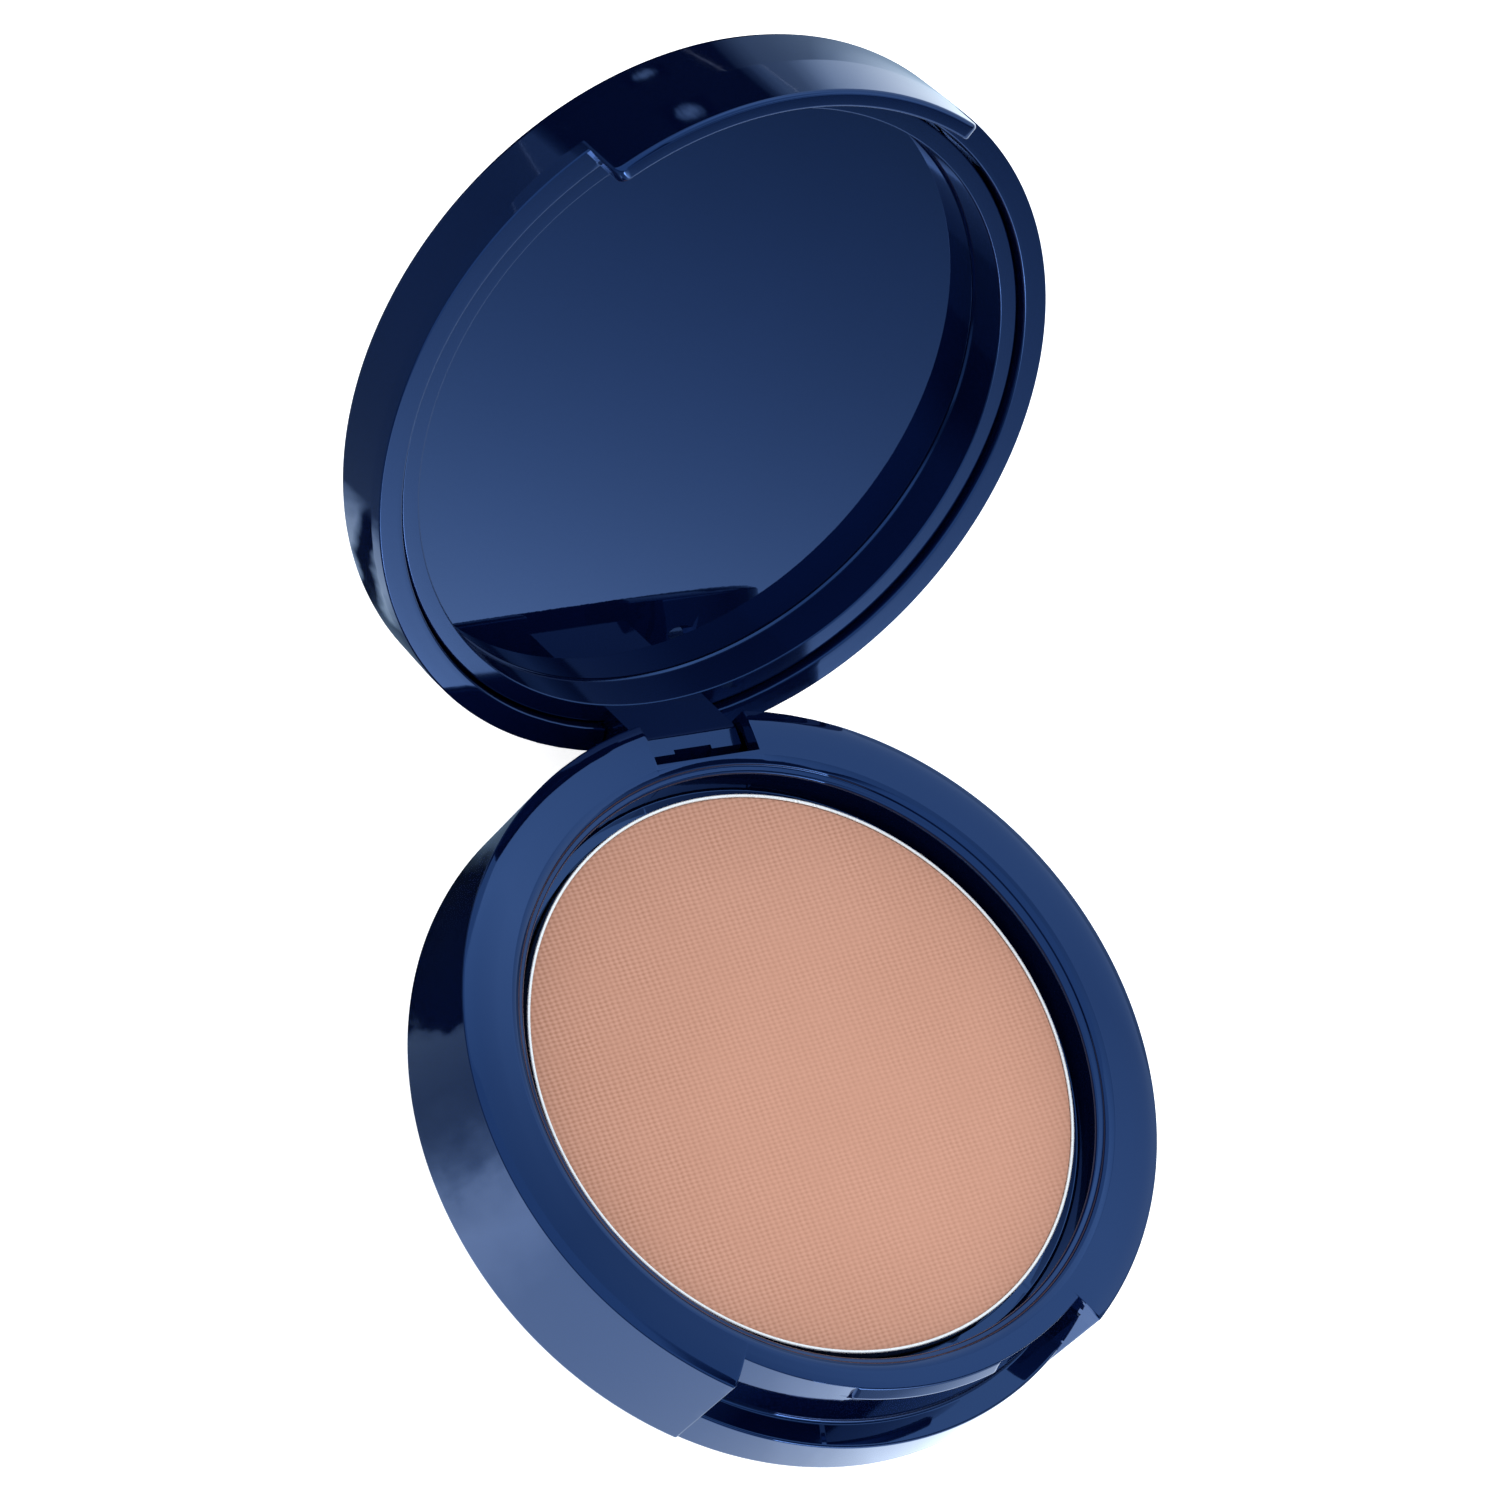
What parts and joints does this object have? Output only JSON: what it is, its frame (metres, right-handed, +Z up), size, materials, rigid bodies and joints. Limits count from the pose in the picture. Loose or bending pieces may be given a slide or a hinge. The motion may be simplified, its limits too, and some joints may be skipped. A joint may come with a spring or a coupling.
{
  "type": "powder compact",
  "caption": "Round navy powder compact with a hinged mirror lid open on its stop, a pan of pressed powder and a front finger notch.",
  "frame": {"origin": "centre of the flat underside of the base", "axes": "+Z up, the hinge is at +Y and the finger notch at -Y, X runs along the hinge pin"},
  "size_m": [0.0758, 0.1249, 0.0698],
  "materials": {
    "shell_plastic": "high gloss navy",
    "frame_plastic": "gloss navy",
    "cover_plastic": "fine satin navy",
    "label_paper": "blank matt label",
    "hot_melt": "cloudy glue",
    "pan_metal": "bright pressed edge",
    "powder_cake": "pressed powder with a woven embossing",
    "pin_steel": "ground",
    "tape_foam": "foam tape",
    "mirror_glass": "glass that reflects dark navy"
  },
  "bodies": {
    "base": {"base_shell": "shell_plastic", "bottom_cover": "cover_plastic", "bottom_label": "label_paper", "pan_glue": "hot_melt", "pan": "pan_metal", "powder": "powder_cake", "hinge_pin": "pin_steel"},
    "lid": {"lid_shell": "shell_plastic", "lid_frame": "frame_plastic", "mirror_adhesive": "tape_foam", "mirror": "mirror_glass"}
  },
  "joints": [
    {"name": "lid_hinge", "type": "hinge", "parent": "base", "child": "lid", "pos_m": [0, 0.03545, 0.00975], "axis": [1, 0, 0], "range_deg": [0, 125]}
  ]
}
